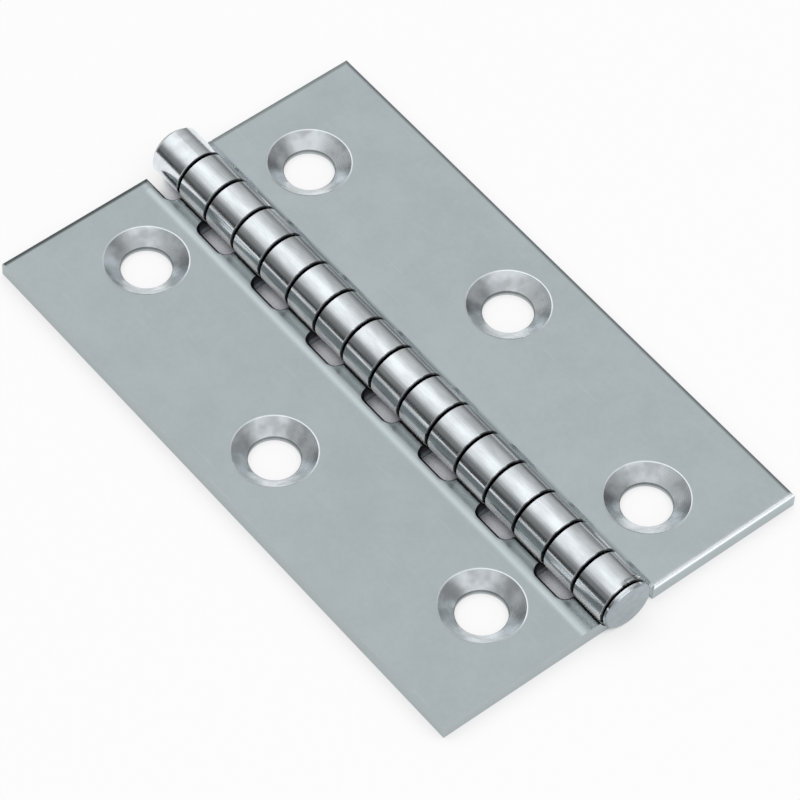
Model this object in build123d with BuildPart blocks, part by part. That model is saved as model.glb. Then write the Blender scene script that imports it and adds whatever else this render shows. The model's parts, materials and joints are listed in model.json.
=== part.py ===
"""Narrow butt hinge: two pressed steel leaves with rolled knuckles on one turned pin.

The hinge lies open and flat with its countersunk side up. X runs across the leaves, Y along the
barrel towards the pin's long head, and Z up from the backs of the leaves. Sizes are in millimetres.
"""
import os
from math import asin, degrees

from build123d import *

# Pin
pin_diameter = 2.5
pin_clearance = 0.05  # running clearance all round the pin
long_head_diameter = 6.5
long_head_standout = 0.9  # past the leaf's far end
long_head_ease = 0.5  # sloped edge round its far face
long_head_gap = 0.3  # end float between the long head and the barrel
flat_head_diameter = 6.4
flat_head_thickness = 0.8
flat_head_ease = 0.2  # sloped edge round its near face
flat_seat_ease = 0.3  # sloped edge of the flat head where it meets the barrel
long_seat_ease = 0.15  # sloped edge of the long head towards the barrel

# Leaf sheet
sheet = 2.0
leaf_length = 80.0
leaf_reach = 25.2  # from the barrel's axis to the outer edge
edge_round = 0.4  # top edges where the pressed side of the sheet is up

# Rolled knuckles
knuckle_count = 15
knuckle_gap = 0.3
seam_gap = 0.5  # from the end of the roll to its own leaf
rim_ease = 0.15  # sloped edge at each end of a knuckle

# Notches beside the barrel
notch_reach = 4.45  # from the barrel's axis to the foot of a notch
notch_corner = 1.1
notch_ease = 0.3  # sloped top edge round a notch
head_bay = 4.6  # room for the long head at the far end

# Low bead raised along the left leaf beside its notches
bead_reach = 5.0  # from the barrel's axis to the bead's crest
bead_width = 2.1
bead_height = 0.11
bead_stop = 1.6  # short of the leaf's far end

# Countersunk screw holes
end_hole_reach = 11.9
end_hole_spacing = 60.5
middle_hole_reach = 16.95
screw_hole_diameter = 6.0
countersink_diameter = 9.8
countersink_angle = 106

# Sizes that follow
bore_radius = pin_diameter / 2 + pin_clearance
barrel_radius = bore_radius + sheet
half_length = leaf_length / 2
barrel_length = leaf_length - head_bay
knuckle_length = (barrel_length - (knuckle_count - 1) * knuckle_gap) / knuckle_count
knuckle_pitch = knuckle_length + knuckle_gap
barrel_end = barrel_length - half_length
barrel_axis = Axis((0, 0, barrel_radius), (0, 1, 0))
roll_angle = 270 + degrees(asin((barrel_radius - sheet - seam_gap) / barrel_radius))
overcut = 2.0  # how far a cut runs past the sheet's edge

left_knuckles = range(0, knuckle_count, 2)
right_knuckles = range(1, knuckle_count, 2)


def knuckle_start(number):
    """Y of a knuckle's near end, counted from the near end of the barrel."""
    return number * knuckle_pitch - half_length


def rolled_leaf(side, own_knuckles, other_knuckles, sheared_up):
    """One leaf on the given side of the barrel, with its own knuckles rolled over the pin.

    With the sheared side of its sheet up, a leaf keeps sharp top edges except at its far end, and
    has the bead beside its notches. Otherwise all its free top edges are rounded.
    """
    with BuildPart() as leaf:
        # Flat plate with its rounded edges
        with BuildSketch():
            with Locations((side * (barrel_radius + leaf_reach) / 2, 0)):
                Rectangle(leaf_reach - barrel_radius, leaf_length)
        extrude(amount=sheet)
        rim = leaf.faces().sort_by(Axis.Z)[-1].edges().sort_by(Axis.X, reverse=side > 0)[:-1]
        fillet(rim.sort_by(Axis.Y)[-1] if sheared_up else rim, edge_round)

        # Low bead along the plate, which swells out of it and sinks back in smooth arcs
        if sheared_up:
            foot = bead_width / 2
            flank = bead_width / 4
            flank_top = sheet + bead_height / 2
            with BuildSketch(Plane.XZ.offset(bead_stop - half_length)):
                with BuildLine():
                    for way in (-1, 1):
                        TangentArc(
                            (side * (bead_reach + way * foot), sheet),
                            (side * (bead_reach + way * flank), flank_top),
                            tangent=(-side * way, 0),
                        )
                    ThreePointArc(
                        (side * (bead_reach - flank), flank_top),
                        (side * bead_reach, sheet + bead_height),
                        (side * (bead_reach + flank), flank_top),
                    )
                    Line((side * (bead_reach - foot), sheet), (side * (bead_reach + foot), sheet))
                make_face()
            extrude(amount=leaf_length - bead_stop)

        # The sheet rolled round the pin back to its own face
        with BuildSketch(Plane.XZ.offset(-half_length)):
            with BuildLine():
                outer = CenterArc((0, barrel_radius), barrel_radius, -90, -side * roll_angle)
                inner = CenterArc((0, barrel_radius), bore_radius, -90, -side * roll_angle)
                Line(outer @ 1, inner @ 1)
                Polyline(
                    inner @ 0,
                    (side * barrel_radius, sheet),
                    (side * barrel_radius, 0),
                    outer @ 0,
                )
            make_face()
        extrude(amount=leaf_length)

        # Notches for the other leaf's knuckles, and the bay for the long head
        spans = [
            (knuckle_start(number) - (knuckle_gap if number else overcut), knuckle_start(number + 1))
            for number in other_knuckles
        ]
        spans.append((barrel_end, half_length + overcut))
        notch_width = notch_reach + barrel_radius + overcut
        with BuildSketch() as notches:
            for start, end in spans:
                with Locations((side * (notch_reach - notch_width / 2), (start + end) / 2)):
                    Rectangle(notch_width, end - start)
            fillet(notches.vertices().group_by(Axis.X)[-1 if side > 0 else 0], notch_corner)
        extrude(amount=2 * barrel_radius + overcut, mode=Mode.SUBTRACT)

        # Eased top edges round the foot of each notch
        ease_width = notch_corner + notch_ease
        with BuildSketch(Plane.XY.offset(sheet - notch_ease)) as eased:
            for start, end in spans:
                with Locations((side * (notch_reach - ease_width / 2), (start + end) / 2)):
                    Rectangle(ease_width, end - start)
            fillet(eased.vertices().group_by(Axis.X)[-1 if side > 0 else 0], notch_corner)
        extrude(amount=notch_ease + bead_height, taper=-45, mode=Mode.SUBTRACT)

        # Eased rims on both ends of each knuckle
        crown = 2 * barrel_radius
        with BuildSketch(Plane.YZ):
            for number in own_knuckles:
                start = knuckle_start(number)
                for end, inward in ((start, 1), (start + knuckle_length, -1)):
                    with BuildLine():
                        Polyline(
                            (end - inward * rim_ease, crown - 2 * rim_ease),
                            (end + 2 * inward * rim_ease, crown + rim_ease),
                            (end - inward * rim_ease, crown + rim_ease),
                            close=True,
                        )
                    make_face()
        revolve(axis=barrel_axis, mode=Mode.SUBTRACT)

        # Countersunk screw holes: one near each end and one further out in the middle
        end_hole = end_hole_spacing / 2
        with Locations(
            (side * end_hole_reach, -end_hole, sheet),
            (side * middle_hole_reach, 0, sheet),
            (side * end_hole_reach, end_hole, sheet),
        ):
            CounterSinkHole(
                radius=screw_hole_diameter / 2,
                counter_sink_radius=countersink_diameter / 2,
                depth=sheet,
                counter_sink_angle=countersink_angle,
            )
    return leaf


left_leaf = rolled_leaf(-1, left_knuckles, right_knuckles, sheared_up=True)
right_leaf = rolled_leaf(1, right_knuckles, left_knuckles, sheared_up=False)

with BuildPart() as pin:
    # Half section of the pin above its axis, turned once round
    shaft_top = barrel_radius + pin_diameter / 2
    flat_head_top = barrel_radius + flat_head_diameter / 2
    long_head_top = barrel_radius + long_head_diameter / 2
    with BuildSketch(Plane.YZ):
        with BuildLine():
            Polyline(
                (-half_length - flat_head_thickness, barrel_radius),
                (-half_length - flat_head_thickness, flat_head_top),
                (-half_length, flat_head_top),
                (-half_length, shaft_top),
                (barrel_end + long_head_gap, shaft_top),
                (barrel_end + long_head_gap, long_head_top),
                (half_length + long_head_standout, long_head_top),
                (half_length + long_head_standout, barrel_radius),
                close=True,
            )
        make_face()
    revolve(axis=barrel_axis)

    # Sloped edges round both heads' outer faces and where the heads meet the barrel
    rims = pin.edges().filter_by(GeomType.CIRCLE).group_by(Axis.Y)
    chamfer(rims[0], flat_head_ease)
    chamfer(rims[-1], long_head_ease)
    for seat, ease in ((rims[1], flat_seat_ease), (rims[2], long_seat_ease)):
        chamfer(seat.sort_by(SortBy.RADIUS)[-1], ease)

os.makedirs("parts", exist_ok=True)
for piece, label in ((left_leaf, "left_leaf"), (right_leaf, "right_leaf"), (pin, "pin")):
    piece.part.label = label
    export_step(piece.part, f"parts/{label}.step")
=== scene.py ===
"""Looks of a narrow butt hinge: satin leaves, bright knuckles and pin heads, on a pale studio floor."""
import json
from math import cos, pi, radians, sin

import bpy
from bpy.props import FloatProperty, FloatVectorProperty, PointerProperty
from mathutils import Matrix, Vector


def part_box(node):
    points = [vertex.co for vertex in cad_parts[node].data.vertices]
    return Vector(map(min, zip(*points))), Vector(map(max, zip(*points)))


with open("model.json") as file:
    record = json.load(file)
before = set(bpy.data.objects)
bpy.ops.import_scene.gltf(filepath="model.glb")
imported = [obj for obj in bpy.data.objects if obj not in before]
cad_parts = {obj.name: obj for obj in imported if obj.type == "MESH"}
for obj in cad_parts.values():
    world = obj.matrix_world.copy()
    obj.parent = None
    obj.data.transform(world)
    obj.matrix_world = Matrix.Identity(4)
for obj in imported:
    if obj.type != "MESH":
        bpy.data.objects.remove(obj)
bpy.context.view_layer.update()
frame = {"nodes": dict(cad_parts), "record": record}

bl_info = {
    "name": "Narrow butt hinge",
    "version": (1, 0, 0),
    "blender": (4, 5, 0),
    "location": "View3D > Sidebar > Hinge",
    "description": "Dresses the hinge's leaves and pin in steel and sets them on a studio floor",
    "category": "Object",
}

# Boxes of the solids and sizes that follow from them, in metres
LEAF_LOW, LEAF_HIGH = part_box("left_leaf")
RIGHT_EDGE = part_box("right_leaf")[1].x
PIN_LOW, PIN_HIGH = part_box("pin")
BARREL_RADIUS = (LEAF_HIGH.z - LEAF_LOW.z) / 2
HALF_LENGTH = (LEAF_HIGH.y - LEAF_LOW.y) / 2
MILLIMETRE = 0.001

# Knuckles along the barrel
KNUCKLE_COUNT = 15
KNUCKLE_GAP = 0.0003
HEAD_BAY = 0.0046  # room for the pin's long head at the far end
KNUCKLE_PITCH = (2 * HALF_LENGTH - HEAD_BAY + KNUCKLE_GAP) / KNUCKLE_COUNT

# Values that the materials share
RELIEF_UNIT = 0.000002  # height in metres of the surface relief that counts as one
NOISE_BAND = (0.3, 0.7)  # most of a noise lies between these
WHITE = (1.0, 1.0, 1.0, 1.0)


def mount(name):
    """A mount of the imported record, by its name."""
    return next(m for m in frame["record"]["mounts"] if m["name"] == name)


END_SCREWS = mount("right_end_screws")
MIDDLE_SCREW = mount("right_middle_screw")


class HingeFinish(bpy.types.PropertyGroup):
    """Colours and polish of the steel, and the sizes of the solids that they follow."""

    plate_tint: FloatVectorProperty(
        name="Plate tint", description="Colour of the satin plates",
        subtype="COLOR", size=3, min=0, max=1, default=(0.535, 0.60, 0.613))
    plate_roughness: FloatProperty(
        name="Plate roughness", description="How far the satin plates blur what they mirror",
        min=0, max=1, default=0.36)
    bright_tint: FloatVectorProperty(
        name="Bright tint", description="Colour of the knuckles, the countersinks and the pin's heads",
        subtype="COLOR", size=3, min=0, max=1, default=(0.805, 0.855, 0.885))
    bright_roughness: FloatProperty(
        name="Bright roughness", description="How far the bright steel blurs what it mirrors",
        min=0, max=1, default=0.18)
    # Painted highlight: the paler tint low down on the left of the knuckles
    under_highlight_tint: FloatVectorProperty(
        name="Under highlight tint", description="Colour of the knuckles low down on the left, which is paler",
        subtype="COLOR", size=3, min=0, max=1, default=(0.97, 0.98, 0.99))
    under_roughness: FloatProperty(
        name="Under roughness", description="How far the knuckles blur what they mirror low on the left",
        min=0, max=1, default=0.95)
    face_tint: FloatVectorProperty(
        name="Pin face tint", description="Colour of the flat faces on the pin's ends",
        subtype="COLOR", size=3, min=0, max=1, default=(0.385, 0.43, 0.46))
    # Painted shade: this tint darkens the gaps of the barrel and the left leaf's seams and notches
    painted_shade_tint: FloatVectorProperty(
        name="Painted shade tint", description="Colour of the dark grease in the gaps of the barrel",
        subtype="COLOR", size=3, min=0, max=1, default=(0.06, 0.062, 0.07))
    mottle_size: FloatProperty(
        name="Mottle size", description="Width of the faint clouds on the plates",
        unit="LENGTH", min=0.0001, default=0.004)
    knuckle_pitch: FloatProperty(
        name="Knuckle pitch", description="From one knuckle's near end to the next one's",
        unit="LENGTH", min=0.001, default=KNUCKLE_PITCH)
    knuckle_gap: FloatProperty(
        name="Knuckle gap", description="Running gap between two knuckles",
        unit="LENGTH", min=0, default=KNUCKLE_GAP)
    sink_radius: FloatProperty(
        name="Countersink radius", description="Radius of a countersink at the plate's face",
        unit="LENGTH", min=0.001, default=0.0049)
    bore_radius: FloatProperty(
        name="Screw hole radius", description="Radius of a screw hole under its countersink",
        unit="LENGTH", min=0.001, default=END_SCREWS["dims"]["hole_r_mm"] * MILLIMETRE)
    edge_round: FloatProperty(
        name="Edge round", description="Radius of the rounded plate edges",
        unit="LENGTH", min=0, default=0.0004)
    notch_reach: FloatProperty(
        name="Notch reach", description="How far from the barrel's axis the looks of the notches' edges go",
        unit="LENGTH", min=0.001, default=0.00497)
    # Painted shade: how far the darkened seams reach from the barrel's axis
    seam_reach: FloatProperty(
        name="Seam reach", description="How far from the barrel's axis the grease in the seams goes",
        unit="LENGTH", min=0.001, default=0.0034)


class HingeStage(bpy.types.PropertyGroup):
    """Floor, light and camera."""

    floor_tint: FloatVectorProperty(
        name="Floor tint", description="Colour of the studio floor",
        subtype="COLOR", size=3, min=0, max=1, default=(0.92, 0.92, 0.92))
    overhead_level: FloatProperty(
        name="Overhead brightness", description="Brightness of the studio's ceiling at its brightest",
        min=0, default=1.1)
    front_level: FloatProperty(
        name="Front brightness", description="Brightness of the studio in front of the hinge",
        min=0, default=0.75)
    box_level: FloatProperty(
        name="Softbox brightness", description="Brightness of the softbox in front of the hinge",
        min=0, default=2.2)
    box_place: FloatVectorProperty(
        name="Softbox place", description="Middle of the softbox",
        subtype="TRANSLATION", unit="LENGTH", size=3, default=(0.18, -0.93, 0.28))
    box_width: FloatProperty(
        name="Softbox width", description="Width of the softbox",
        unit="LENGTH", min=0.01, default=0.8)
    box_height: FloatProperty(
        name="Softbox height", description="Height of the softbox",
        unit="LENGTH", min=0.01, default=0.42)
    camera_azimuth: FloatProperty(
        name="Azimuth", description="Turn of the view round the upright axis",
        subtype="ANGLE", default=radians(-41.32))
    camera_elevation: FloatProperty(
        name="Elevation", description="Height of the view above the floor",
        subtype="ANGLE", default=radians(53.26))
    camera_roll: FloatProperty(
        name="Roll", description="Tilt of the picture",
        subtype="ANGLE", default=radians(2.99))
    camera_distance: FloatProperty(
        name="Distance", description="From the camera to the point it looks at",
        unit="LENGTH", default=0.56886)
    camera_lens: FloatProperty(
        name="Lens", description="Focal length in millimetres", default=228.5)
    camera_target: FloatVectorProperty(
        name="Target", description="Point that the camera looks at",
        subtype="TRANSLATION", unit="LENGTH", size=3, default=(-0.00206, -0.00373, 0.0033))


class NodeBench:
    """Short ways to add and link the nodes of one tree."""

    noise_grain = 0.55  # how strongly each finer layer of a noise shows

    def __init__(self, tree):
        self.tree = tree
        tree.nodes.clear()

    def node(self, kind, **settings):
        """A new node with the given settings."""
        made = self.tree.nodes.new(kind)
        for key, value in settings.items():
            setattr(made, key, value)
        return made

    def feed(self, socket, value):
        """Links a socket to another one, or sets its constant."""
        if isinstance(value, bpy.types.NodeSocket):
            self.tree.links.new(value, socket)
        else:
            socket.default_value = value

    def math(self, operation, *values, clamp=False):
        """The result of one Math node."""
        made = self.node("ShaderNodeMath", operation=operation, use_clamp=clamp)
        for socket, value in zip(made.inputs, values):
            self.feed(socket, value)
        return made.outputs[0]

    def product(self, first, *others):
        """All the values multiplied."""
        for other in others:
            first = self.math("MULTIPLY", first, other)
        return first

    def total(self, first, *others):
        """All the values added."""
        for other in others:
            first = self.math("ADD", first, other)
        return first

    def most(self, first, *others):
        """The largest of the values."""
        for other in others:
            first = self.math("MAXIMUM", first, other)
        return first

    def opposite(self, mask):
        """One less the mask."""
        return self.math("SUBTRACT", 1.0, mask)

    def distance(self, value, place):
        """How far a value lies from a place, to either side."""
        return self.math("ABSOLUTE", self.math("SUBTRACT", value, place))

    def hypot(self, first, second):
        """Length of the slope over two legs."""
        return self.math("SQRT", self.total(self.product(first, first), self.product(second, second)))

    def step(self, value, low, high, to_low=0.0, to_high=1.0):
        """A smooth step as the value goes from low to high."""
        made = self.node("ShaderNodeMapRange", interpolation_type="SMOOTHSTEP")
        for socket, given in zip(made.inputs, (value, low, high, to_low, to_high)):
            self.feed(socket, given)
        return made.outputs[0]

    def mix_value(self, factor, first, second):
        """From the first value to the second."""
        made = self.node("ShaderNodeMix", data_type="FLOAT")
        self.feed(made.inputs[0], factor)
        self.feed(made.inputs[2], first)
        self.feed(made.inputs[3], second)
        return made.outputs[0]

    def mix_colour(self, factor, first, second, blend="MIX"):
        """From the first colour to the second."""
        made = self.node("ShaderNodeMix", data_type="RGBA", blend_type=blend)
        self.feed(made.inputs[0], factor)
        self.feed(made.inputs[6], first)
        self.feed(made.inputs[7], second)
        return made.outputs[2]

    def shaded(self, colour, *shades):
        """A colour times grey shades."""
        for shade in shades:
            colour = self.mix_colour(1.0, colour, shade, blend="MULTIPLY")
        return colour

    def noise(self, vector, scale, detail):
        """Cloudy noise between 0 and 1."""
        made = self.node("ShaderNodeTexNoise")
        self.feed(made.inputs["Vector"], vector)
        made.inputs["Scale"].default_value = scale
        made.inputs["Detail"].default_value = detail
        made.inputs["Roughness"].default_value = self.noise_grain
        return made.outputs["Fac"]

    def stretched(self, vector, scale, turn=0.0):
        """The vector scaled along each axis and then turned about Z."""
        made = self.node("ShaderNodeMapping")
        self.feed(made.inputs["Vector"], vector)
        made.inputs["Rotation"].default_value = (0.0, 0.0, turn)
        made.inputs["Scale"].default_value = scale
        return made.outputs[0]

    def split(self, vector):
        """The three parts of a vector."""
        made = self.node("ShaderNodeSeparateXYZ")
        self.feed(made.inputs[0], vector)
        return tuple(made.outputs)

    def join(self, *values):
        """A vector of three parts."""
        made = self.node("ShaderNodeCombineXYZ")
        for socket, value in zip(made.inputs, values):
            self.feed(socket, value)
        return made.outputs[0]


class LeafBench(NodeBench):
    """A bench for the leaves' material, with sockets that tell where a point lies on the hinge.

    Each band is the pair of values at which a mask starts and is full.
    """

    left_band = (0.0005, -0.0005)  # X, from the right leaf to the left one
    front_band = (0.0001, 0.0004)  # Z, from the back of a leaf
    plate_band = (BARREL_RADIUS + 0.00003, BARREL_RADIUS + 0.00006)  # from the barrel's axis
    knuckle_band = (BARREL_RADIUS + 0.00012, BARREL_RADIUS + 0.00004)  # from the barrel's axis
    level_band = (0.8, 0.9)  # upward part of a face's direction
    upward_band = (0.05, 0.2)  # upward part of a face's direction
    sink_blur = 0.00003  # half the soft border of a countersink
    notch_blur = 0.00004  # soft border of the notches' reach

    def __init__(self, tree, finish):
        super().__init__(tree)
        self.finish = finish
        place = self.node("ShaderNodeTexCoord")
        self.point = place.outputs["Object"]
        self.x, self.y, self.z = self.split(self.point)
        self.across = self.math("ABSOLUTE", self.x)
        self.along = self.math("ABSOLUTE", self.y)
        self.facing = self.split(place.outputs["Normal"])[2]
        self.radius = from_axis(self, self.x, self.z)
        self.turn = self.math("ARCTAN2", self.x, self.math("SUBTRACT", self.z, BARREL_RADIUS))
        self.hole = from_screw_hole(self)
        self.knuckle_number = knuckle_number(self)

        # Masks from 0 to 1
        self.left = self.step(self.x, *self.left_band)
        self.right = self.opposite(self.left)
        self.front = self.step(self.z, *self.front_band)
        self.on_plate = self.step(self.radius, *self.plate_band)
        self.knuckle = self.step(self.radius, *self.knuckle_band)
        self.level = self.step(self.facing, *self.level_band)
        self.upward = self.step(self.facing, *self.upward_band)
        self.by_notch = self.step(self.across, finish.notch_reach, finish.notch_reach - self.notch_blur)
        inside_sink = self.step(
            self.hole, finish.sink_radius + self.sink_blur, finish.sink_radius - self.sink_blur)
        self.sink = self.product(inside_sink, self.front)


def opaque(colour):
    """A colour with full alpha for a node's colour socket."""
    return (*colour, 1.0)


def from_axis(bench, x, z):
    """Distance of a point from the barrel's axis."""
    return bench.hypot(x, bench.math("SUBTRACT", z, BARREL_RADIUS))


def from_screw_hole(bench):
    """Distance of a point from the axis of the nearest screw hole, the same on all four quarters."""
    end = (END_SCREWS["pos_m"][0], END_SCREWS["dims"]["spacing_y_mm"] * MILLIMETRE / 2)
    middle = (MIDDLE_SCREW["pos_m"][0], 0.0)
    distances = [
        bench.hypot(
            bench.math("SUBTRACT", bench.across, hole_x), bench.math("SUBTRACT", bench.along, hole_y))
        for hole_x, hole_y in (end, middle)
    ]
    return bench.math("MINIMUM", *distances)


def knuckle_number(bench):
    """Number of the knuckle round a point, counted from the near end."""
    start = HALF_LENGTH + bench.finish.knuckle_gap / 2
    along = bench.math("DIVIDE", bench.math("ADD", bench.y, start), bench.finish.knuckle_pitch)
    return bench.math("FLOOR", along)


def new_material(name):
    """An empty node material."""
    made = bpy.data.materials.new(name)
    made.use_nodes = True
    return made


def finish_steel(bench, colour, roughness, height):
    """A metal shader with the given colour, roughness and surface relief."""
    shader = bench.node("ShaderNodeBsdfPrincipled")
    shader.inputs["Metallic"].default_value = 1.0
    bench.feed(shader.inputs["Base Color"], colour)
    bench.feed(shader.inputs["Roughness"], roughness)
    relief = bench.node("ShaderNodeBump")
    relief.inputs["Distance"].default_value = RELIEF_UNIT
    relief.inputs["Strength"].default_value = 1.0
    bench.feed(relief.inputs["Height"], height)
    bench.feed(shader.inputs["Normal"], relief.outputs[0])
    output = bench.node("ShaderNodeOutputMaterial")
    bench.feed(output.inputs["Surface"], shader.outputs[0])


def painted_shade_cover(bench):
    """How far painted shade covers a leaf: inside the barrel, and in the left leaf's seams and notches."""
    finish = bench.finish
    # Painted shade on all that lies inside the barrel, seen through the gaps between the knuckles
    bore_band = (BARREL_RADIUS - 0.00006, BARREL_RADIUS - 0.00012)
    inside = bench.step(bench.radius, *bore_band)

    # Painted shade on the steep walls of the notches, clear of the leaf's back and its ends
    wall_band = (0.0004, 0.0012)
    end_band = (HALF_LENGTH - 0.00002, HALF_LENGTH - 0.00006)
    clear = bench.product(bench.step(bench.z, *wall_band), bench.step(bench.along, *end_band))
    walls = bench.product(bench.opposite(bench.level), bench.by_notch, bench.on_plate, clear)

    # A ragged line of painted shade in the seams
    ragged_scale = 2500.0
    ragged_width = 0.0003
    seam_band = (finish.seam_reach + 0.0002, finish.seam_reach + 0.0001)
    seam_cover = 0.93
    ragged = bench.product(bench.noise(bench.point, ragged_scale, detail=3), ragged_width)
    seam_line = bench.step(bench.total(bench.across, ragged), *seam_band)
    seam = bench.product(seam_line, bench.on_plate, bench.level, seam_cover)

    # Thin painted shade round the notches, which alternate with the tongues in a wave along the barrel
    wave_band = (-0.1, -0.6)
    notch_shade_band = (0.0053, 0.0048)
    notch_shade_depth = 0.4
    first_tongue = (finish.knuckle_pitch - finish.knuckle_gap) / 2 - HALF_LENGTH
    wave = bench.product(bench.math("SUBTRACT", bench.y, first_tongue), pi / finish.knuckle_pitch)
    notch_shade = bench.product(
        bench.step(bench.math("COSINE", wave), *wave_band), bench.step(bench.across, *notch_shade_band),
        bench.on_plate, bench.level, notch_shade_depth)

    return bench.most(inside, bench.product(bench.most(walls, seam, notch_shade), bench.left))


def painted_plate_light(bench):
    """Painted light and shade on the plates.

    A painted highlight lies on the crest of the left leaf's bead. Painted shade darkens a strip right of
    the barrel, the sheared faces, thin lines along the far edges and the right edge, and the left leaf a
    little.
    """
    # A painted highlight on the crest of the left leaf's bead
    bead_crest = 0.0054
    crest_band = (0.0001, 0.0005)
    crest_shades = (1.15, 1.0)
    crest = bench.step(bench.distance(bench.across, bead_crest), *crest_band, *crest_shades)

    # A painted shadow in a strip right of the barrel, darker towards the far end
    strip_run = (-0.035, 0.015)
    strip_shades = (0.55, 0.25)
    strip_band = (0.0042, 0.0050)
    strip_shade = bench.step(bench.y, *strip_run, *strip_shades)
    strip = bench.step(bench.across, *strip_band, strip_shade, 1.0)
    by_barrel = bench.mix_value(bench.level, 1.0, bench.mix_value(bench.left, strip, crest))

    # Painted shade on the sheared faces, by how steep they are
    sheared_band = (0.1, 0.3)
    sheared_shades = (0.87, 1.0)
    sheared = bench.step(bench.math("ABSOLUTE", bench.facing), *sheared_band, *sheared_shades)

    # Painted shade in thin lines along the far edges and the right edge
    edge_round = bench.finish.edge_round
    far_band = (HALF_LENGTH - 2 * edge_round, HALF_LENGTH - 1.1 * edge_round)
    far_right_depth = 0.4
    far_left_depth = 0.75
    far_depth = bench.mix_value(bench.left, far_right_depth, far_left_depth)
    far_line = bench.product(bench.step(bench.y, *far_band), far_depth)
    right_band = (RIGHT_EDGE - 1.8 * edge_round, RIGHT_EDGE - 0.9 * edge_round)
    right_depth = 0.5
    right_line = bench.step(bench.x, *right_band, 0.0, right_depth)
    lines = bench.opposite(bench.product(bench.most(far_line, right_line), bench.upward))

    # Painted shade over the whole left leaf
    left_shade = 0.95
    return bench.product(by_barrel, sheared, lines, bench.mix_value(bench.left, 1.0, left_shade))


def satin_plate(bench):
    """Colour and roughness of the plates, with faint clouds, specks, fine scuffs, and painted light and
    shade.
    """
    finish = bench.finish
    specks_in_mottle = 6
    cloud_share = 0.7
    mottle_shades = (0.95, 1.04)
    roughness_spread = 0.04
    clouds = bench.noise(bench.point, 1 / finish.mottle_size, detail=4)
    specks = bench.noise(bench.point, specks_in_mottle / finish.mottle_size, detail=2)
    mottle = bench.total(bench.product(clouds, cloud_share), bench.product(specks, 1 - cloud_share))

    scuff_stretch = (1.0, 0.04, 1.0)
    scuff_turn = radians(24)
    scuff_scale = 2600.0
    scuff_band = (0.68, 0.78)
    scuff_gain = 0.05
    scuffs = bench.noise(bench.stretched(bench.point, scuff_stretch, scuff_turn), scuff_scale, detail=1)
    scuffs = bench.product(bench.step(scuffs, *scuff_band), scuff_gain)

    shade = bench.total(bench.step(mottle, *NOISE_BAND, *mottle_shades), scuffs)
    colour = bench.shaded(opaque(finish.plate_tint), shade, painted_plate_light(bench))
    roughness = bench.step(
        mottle, *NOISE_BAND,
        finish.plate_roughness - roughness_spread, finish.plate_roughness + roughness_spread)
    return colour, roughness


def rolled_knuckles(bench):
    """Colour and roughness of the knuckles.

    They are bright, with painted shade on the rims at their ends and in a stripe on the right. Low down
    on the left they are satin, with a pale painted highlight.
    """
    finish = bench.finish
    tarnish_stretch = (1.0, 0.3, 1.0)
    tarnish_scale = 900.0
    tarnish_shades = (0.86, 1.05)
    roughness_spread = 0.03
    tarnish = bench.noise(bench.stretched(bench.point, tarnish_stretch), tarnish_scale, detail=3)
    tarnish_shade = bench.step(tarnish, *NOISE_BAND, *tarnish_shades)

    # Painted shade on the rims at the knuckles' ends
    rim_band = (BARREL_RADIUS - 0.00003, BARREL_RADIUS - 0.000005)
    rim_shades = (0.22, 1.0)
    rim_shade = bench.step(bench.radius, *rim_band, *rim_shades)

    # Painted shade in a stripe on the right of each knuckle
    stripe_turn = radians(36)
    stripe_band = (radians(3), radians(13))
    stripe_shades = (0.48, 1.0)
    stripe_shade = bench.step(bench.distance(bench.turn, stripe_turn), *stripe_band, *stripe_shades)

    # A pale painted highlight low down on the left, where the knuckles are also satin
    under_band = (radians(-78), radians(-86))
    under = bench.step(bench.turn, *under_band)
    colour = bench.mix_colour(under, opaque(finish.bright_tint), opaque(finish.under_highlight_tint))
    colour = bench.shaded(colour, tarnish_shade, rim_shade, stripe_shade)
    roughness = bench.step(
        tarnish, *NOISE_BAND,
        finish.bright_roughness + roughness_spread, finish.bright_roughness - roughness_spread)
    return colour, bench.mix_value(under, roughness, finish.under_roughness)


def cut_sinks(bench):
    """How far the countersinks are polished, and their colour with a bright rim and uneven cutting marks."""
    finish = bench.finish
    rim_outset = 0.00003
    rim_band = (0.00016, 0.00006)
    wall_polish = 0.85
    rim = bench.step(bench.distance(bench.hole, finish.sink_radius + rim_outset), *rim_band)
    rim = bench.product(rim, bench.front)
    polish = bench.most(bench.product(bench.sink, wall_polish), rim)

    mark_scale = 420.0
    mark_band = (0.35, 0.65)
    mark_shades = (0.72, 1.08)
    marks = bench.step(bench.noise(bench.point, mark_scale, detail=2), *mark_band, *mark_shades)
    return polish, bench.shaded(opaque(finish.bright_tint), bench.most(marks, rim))


def bore_shade(bench):
    """Painted shade that darkens the walls of the screw holes."""
    bore_band = (bench.finish.bore_radius + 0.00008, bench.finish.bore_radius + 0.00003)
    wall_shade = 0.3
    bore = bench.product(bench.step(bench.hole, *bore_band), bench.front)
    return bench.mix_value(bore, 1.0, wall_shade)


def painted_right_highlight(bench):
    """Where a painted highlight brightens the right leaf: its rounded near edge and the slopes of its
    notches.
    """
    edge_round = bench.finish.edge_round
    near_band = (2 * edge_round - HALF_LENGTH, edge_round - HALF_LENGTH)
    near_depth = 0.85
    slope_band = (0.99, 0.95)
    near = bench.step(bench.y, *near_band, 0.0, near_depth)
    slopes = bench.product(bench.by_notch, bench.step(bench.facing, *slope_band))
    return bench.product(bench.most(near, slopes), bench.upward, bench.right, bench.on_plate)


def rolling_lines(bench):
    """Relief of fine lines along the leaves."""
    line_stretch = (1.0, 0.08, 1.0)
    line_scale = 9000.0
    line_height = 0.4
    lines = bench.noise(bench.stretched(bench.point, line_stretch), line_scale, detail=1)
    return bench.product(lines, line_height)


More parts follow.
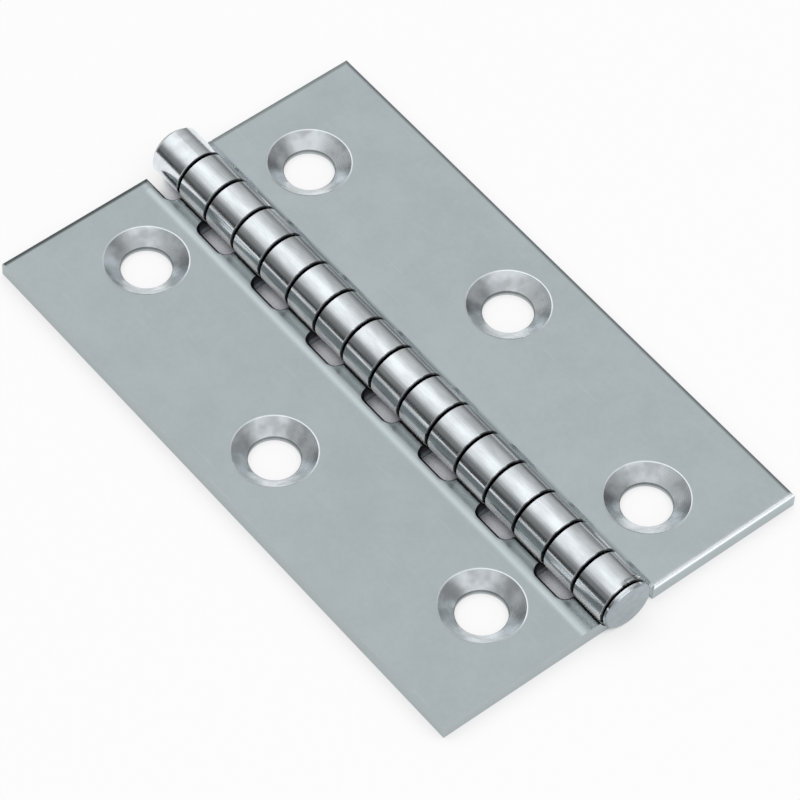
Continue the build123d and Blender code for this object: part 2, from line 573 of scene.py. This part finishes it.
def knuckle_relief(bench):
    """Each knuckle is a little out of round: its own small lean, and shallow flats along the barrel."""
    lean_limit = 110.0
    chance = bench.node("ShaderNodeTexWhiteNoise", noise_dimensions="1D")
    bench.feed(chance.inputs["W"], bench.knuckle_number)
    lean = bench.step(chance.outputs["Value"], 0.0, 1.0, -lean_limit, lean_limit)

    flat_stride = 3.7
    flat_scale = 3.5
    flat_height = 12.0
    own_flats = bench.join(bench.turn, bench.product(bench.knuckle_number, flat_stride), 0.0)
    flats = bench.product(bench.noise(own_flats, flat_scale, detail=2), flat_height)
    return bench.product(bench.total(bench.product(bench.turn, lean), flats), bench.knuckle)


def sink_relief(bench):
    """Rounded rim of a countersink, and the turning lines inside it."""
    rim_width = 0.0002
    rim_height = -25.0
    beside_rim = bench.math("DIVIDE", bench.distance(bench.hole, bench.finish.sink_radius), rim_width)
    fall = bench.math("SUBTRACT", 1.0, beside_rim, clamp=True)
    rim = bench.product(fall, fall, rim_height, bench.level)

    line_pitch = 0.00022
    line_height = 0.3
    lines = bench.math("SINE", bench.product(bench.hole, 2 * pi / line_pitch))
    return bench.total(rim, bench.product(lines, bench.sink, line_height))


def near_relief(bench):
    """The right leaf's near edge falls away a little before its rounding."""
    edge_round = bench.finish.edge_round
    fall_band = (2 * edge_round - HALF_LENGTH, 0.4 * edge_round - HALF_LENGTH)
    fall_height = -150.0
    return bench.product(bench.step(bench.y, *fall_band, 0.0, fall_height), bench.right)


def leaf_steel(finish):
    """Satin plate, bright knuckles, machined countersinks, painted highlights and painted shade."""
    material = new_material("leaf_steel")
    bench = LeafBench(material.node_tree, finish)
    plate, plate_roughness = satin_plate(bench)
    rolled, rolled_roughness = rolled_knuckles(bench)
    polish, cut = cut_sinks(bench)

    steel = bench.mix_colour(bench.knuckle, plate, rolled)
    steel = bench.mix_colour(polish, steel, cut)
    # A painted highlight on the right leaf's near edge and notch slopes
    steel = bench.mix_colour(painted_right_highlight(bench), steel, opaque(finish.bright_tint))
    # Painted shade on the walls of the screw holes
    steel = bench.shaded(steel, bore_shade(bench))
    # Painted shade inside the barrel and in the left leaf's seams and notches
    colour = bench.mix_colour(painted_shade_cover(bench), steel, opaque(finish.painted_shade_tint))

    polish_smoothing = 0.7
    smooth = bench.product(polish, polish_smoothing)
    roughness = bench.mix_value(bench.knuckle, plate_roughness, rolled_roughness)
    roughness = bench.mix_value(smooth, roughness, finish.bright_roughness)

    height = bench.total(
        rolling_lines(bench), knuckle_relief(bench), sink_relief(bench), near_relief(bench))
    finish_steel(bench, colour, roughness, height)
    return material


def pin_steel(finish):
    """Bright turned heads, satin end faces with turning lines, and painted shade on head slopes and the
    shaft.
    """
    material = new_material("pin_steel")
    bench = NodeBench(material.node_tree)
    point = bench.node("ShaderNodeTexCoord").outputs["Object"]
    x, y, z = bench.split(point)
    radius = from_axis(bench, x, z)

    # Where the end faces and the shaft's painted shade lie along the pin
    near_face_band = (PIN_LOW.y + 0.00026, PIN_LOW.y + 0.00020)
    far_face_band = (PIN_HIGH.y - 0.00006, PIN_HIGH.y - 0.00001)
    shaft_shade_start_band = (-HALF_LENGTH - 0.00030, -HALF_LENGTH - 0.00027)
    shaft_shade_end_band = (HALF_LENGTH - 0.00418, HALF_LENGTH - 0.00421)
    face = bench.most(bench.step(y, *near_face_band), bench.step(y, *far_face_band))
    shaft_shade = bench.product(bench.step(y, *shaft_shade_start_band), bench.step(y, *shaft_shade_end_band))

    # Painted shade on slopes: round the long head's far face, and low on the near head's rim
    far_slope_band = (PIN_HIGH.y - 0.0005, PIN_HIGH.y - 0.00042)
    far_slope_shades = (1.0, 0.35)
    far_slope = bench.step(y, *far_slope_band, *far_slope_shades)
    near_slope_band = (PIN_LOW.y + 0.00024, PIN_LOW.y + 0.00018)
    near_slope_radii = (0.003, 0.00306)
    near_slope_heights = (0.0042, 0.0015)
    near_slope_shade = 0.4
    near_slope = bench.product(
        bench.step(y, *near_slope_band), bench.step(radius, *near_slope_radii),
        bench.step(z, *near_slope_heights))

    cloud_scale = 900.0
    cloud_shades = (0.9, 1.05)
    clouds = bench.noise(point, cloud_scale, detail=3)
    shade = bench.product(
        bench.step(clouds, *NOISE_BAND, *cloud_shades), far_slope,
        bench.mix_value(near_slope, 1.0, near_slope_shade))
    bright = bench.shaded(opaque(finish.bright_tint), shade)
    satin = bench.shaded(opaque(finish.face_tint), shade)
    colour = bench.mix_colour(face, bright, satin)
    # Painted shade on the shaft inside the barrel
    colour = bench.mix_colour(shaft_shade, colour, opaque(finish.painted_shade_tint))

    face_roughness = (0.26, 0.34)
    line_pitch = 0.00025
    roughness = bench.mix_value(
        face, finish.bright_roughness, bench.step(clouds, *NOISE_BAND, *face_roughness))
    lines = bench.math("SINE", bench.product(radius, 2 * pi / line_pitch))
    finish_steel(bench, colour, roughness, bench.product(lines, face))
    return material


def wear(node_name, material):
    """Puts one material on a node of the frame."""
    mesh = frame["nodes"][node_name].data
    mesh.materials.clear()
    mesh.materials.append(material)


class HINGE_OT_dress_leaves(bpy.types.Operator):
    """Give both leaves their satin plates and bright knuckles"""

    bl_idname = "hinge.dress_leaves"
    bl_label = "Dress the leaves"

    def execute(self, context):
        material = leaf_steel(context.scene.hinge_finish)
        wear("left_leaf", material)
        wear("right_leaf", material)
        return {"FINISHED"}


class HINGE_OT_dress_pin(bpy.types.Operator):
    """Give the pin its bright heads"""

    bl_idname = "hinge.dress_pin"
    bl_label = "Dress the pin"

    def execute(self, context):
        wear("pin", pin_steel(context.scene.hinge_finish))
        return {"FINISHED"}


def floor_paint(tint):
    """White to the camera and in mirrors, shaded where the hinge covers it, and matt to other light."""
    cover_reach = 0.008
    deep_band = (0.08, 0.42)
    deep_tint = (0.85, 0.88, 1.0, 1.0)
    shallow_band = (0.4, 0.95)
    shallow_shades = (0.85, 1.0)
    glow_share = 0.93

    material = new_material("studio_floor")
    bench = NodeBench(material.node_tree)
    diffuse = bench.node("ShaderNodeBsdfDiffuse")
    diffuse.inputs["Color"].default_value = opaque(tint)
    cover = bench.node("ShaderNodeAmbientOcclusion")
    cover.inputs["Distance"].default_value = cover_reach
    deep = bench.step(cover.outputs["AO"], *deep_band)
    shallow = bench.step(cover.outputs["AO"], *shallow_band, *shallow_shades)
    glow = bench.node("ShaderNodeEmission")
    bench.feed(glow.inputs["Color"], bench.mix_colour(deep, deep_tint, WHITE))
    bench.feed(glow.inputs["Strength"], bench.product(deep, shallow))
    path = bench.node("ShaderNodeLightPath").outputs
    seen = bench.most(path["Is Camera Ray"], path["Is Glossy Ray"], path["Is Transmission Ray"])
    mixed = bench.node("ShaderNodeMixShader")
    bench.feed(mixed.inputs[0], bench.product(seen, glow_share))
    bench.feed(mixed.inputs[1], diffuse.outputs[0])
    bench.feed(mixed.inputs[2], glow.outputs[0])
    output = bench.node("ShaderNodeOutputMaterial")
    bench.feed(output.inputs["Surface"], mixed.outputs[0])
    return material


def studio_floor(tint):
    """A wide flat floor just under the hinge."""
    half = 2.0
    drop = 0.00005
    mesh = bpy.data.meshes.new("floor")
    corners = [(-half, -half, -drop), (half, -half, -drop), (half, half, -drop), (-half, half, -drop)]
    mesh.from_pydata(corners, [], [(0, 1, 2, 3)])
    mesh.materials.append(floor_paint(tint))
    floor = bpy.data.objects.new("floor", mesh)
    bpy.context.scene.collection.objects.link(floor)


def softbox(name, centre, width, height, level):
    """A rectangular lamp that faces the hinge and shows the given brightness."""
    lamp = bpy.data.lights.new(name, "AREA")
    lamp.shape = "RECTANGLE"
    lamp.size = width
    lamp.size_y = height
    lamp.energy = level * pi * width * height
    made = bpy.data.objects.new(name, lamp)
    made.location = centre
    made.rotation_euler = Vector(centre).to_track_quat("Z", "Y").to_euler()
    bpy.context.scene.collection.objects.link(made)


def ceiling_fade(bench, across, height):
    """Brightness of the studio by the turn from straight up, brightest along the barrel.

    The stops are degrees, positive towards the right leaf, and the share of the full brightness there.
    """
    fade = (
        (-90, 0.30), (-73, 0.32), (-63, 0.18), (-53, 0.22), (-43, 0.46),
        (-34, 0.74), (-25, 0.87), (-12, 0.98), (0, 1.0), (10, 0.95),
        (23, 0.76), (27, 0.70), (42, 0.55), (62, 0.43), (90, 0.38),
    )
    turn = bench.math("ARCTAN2", across, height)
    ramp = bench.node("ShaderNodeValToRGB")
    bench.feed(ramp.inputs[0], bench.math("MULTIPLY_ADD", turn, 0.5 / pi, 0.5))
    stops = ramp.color_ramp.elements
    while len(stops) < len(fade):
        stops.new(0.5)
    for stop, (degrees, share) in zip(stops, fade):
        stop.position = degrees / 360 + 0.5
        stop.color = (share, share, share, 1.0)
    return ramp.outputs[0]


def studio_walls(stage):
    """A ceiling that fades to the sides, darker low down behind, and low down on the right in front."""
    world = bpy.data.worlds.new("studio")
    bpy.context.scene.world = world
    world.use_nodes = True
    bench = NodeBench(world.node_tree)
    across, along, height = bench.split(bench.node("ShaderNodeTexCoord").outputs["Generated"])

    # Behind and overhead
    corner_band = (0.1, 0.35)
    corner_shades = (0.1, 0.6)
    low_band = (0.15, 0.45)
    low_shade = bench.step(bench.product(across, along), *corner_band, *corner_shades)
    low_behind = bench.step(height, *low_band, low_shade, 1.0)
    behind = bench.product(ceiling_fade(bench, across, height), low_behind, stage.overhead_level)

    # In front
    right_band = (0.0, 0.5)
    under_band = (0.78, 0.62)
    low_right_share = 0.4
    low_right = bench.product(bench.step(across, *right_band), bench.step(height, *under_band))
    front = bench.mix_value(low_right, stage.front_level, low_right_share * stage.front_level)

    front_band = (-0.12, -0.42)
    background = bench.node("ShaderNodeBackground")
    background.inputs["Color"].default_value = WHITE
    bench.feed(background.inputs["Strength"], bench.mix_value(bench.step(along, *front_band), behind, front))
    output = bench.node("ShaderNodeOutputWorld")
    bench.feed(output.inputs["Surface"], background.outputs[0])


def studio_camera(stage):
    """A long lens at the given turn, height and roll round its target."""
    turn = stage.camera_azimuth
    height = stage.camera_elevation
    back = Vector((sin(turn) * cos(height), -cos(turn) * cos(height), sin(height)))
    data = bpy.data.cameras.new("camera")
    data.lens = stage.camera_lens
    camera = bpy.data.objects.new("camera", data)
    level = (-back).to_track_quat("-Z", "Y").to_matrix().to_4x4()
    roll = Matrix.Rotation(stage.camera_roll, 4, "Z")
    place = Matrix.Translation(Vector(stage.camera_target) + back * stage.camera_distance)
    camera.matrix_world = place @ level @ roll
    bpy.context.scene.collection.objects.link(camera)
    bpy.context.scene.camera = camera


class HINGE_OT_set_stage(bpy.types.Operator):
    """Lay the floor, hang the softbox and place the camera"""

    bl_idname = "hinge.set_stage"
    bl_label = "Set the stage"

    def execute(self, context):
        stage = context.scene.hinge_stage
        context.scene.view_settings.view_transform = "Standard"
        studio_floor(stage.floor_tint)
        studio_walls(stage)
        softbox("front", stage.box_place, stage.box_width, stage.box_height, stage.box_level)
        studio_camera(stage)
        return {"FINISHED"}


class HINGE_PT_sidebar(bpy.types.Panel):
    """Lists the steps that dress the hinge, and the values they use"""

    bl_idname = "HINGE_PT_sidebar"
    bl_label = "Narrow butt hinge"
    bl_space_type = "VIEW_3D"
    bl_region_type = "UI"
    bl_category = "Hinge"

    def draw(self, context):
        for step in STEPS:
            self.layout.operator(step.bl_idname)
        for group in (context.scene.hinge_finish, context.scene.hinge_stage):
            for name in group.bl_rna.properties.keys():
                if name not in ("rna_type", "name"):
                    self.layout.prop(group, name)


STEPS = (HINGE_OT_dress_leaves, HINGE_OT_dress_pin, HINGE_OT_set_stage)
CLASSES = (HingeFinish, HingeStage, *STEPS, HINGE_PT_sidebar)


def register():
    """Adds the classes, and the two groups of values to the scene."""
    for each in CLASSES:
        bpy.utils.register_class(each)
    bpy.types.Scene.hinge_finish = PointerProperty(type=HingeFinish)
    bpy.types.Scene.hinge_stage = PointerProperty(type=HingeStage)


def unregister():
    """Takes out what register adds."""
    del bpy.types.Scene.hinge_stage
    del bpy.types.Scene.hinge_finish
    for each in reversed(CLASSES):
        bpy.utils.unregister_class(each)


def main():
    """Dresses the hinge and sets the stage."""
    register()
    bpy.ops.hinge.dress_leaves()
    bpy.ops.hinge.dress_pin()
    bpy.ops.hinge.set_stage()


if __name__ == "__main__":
    main()
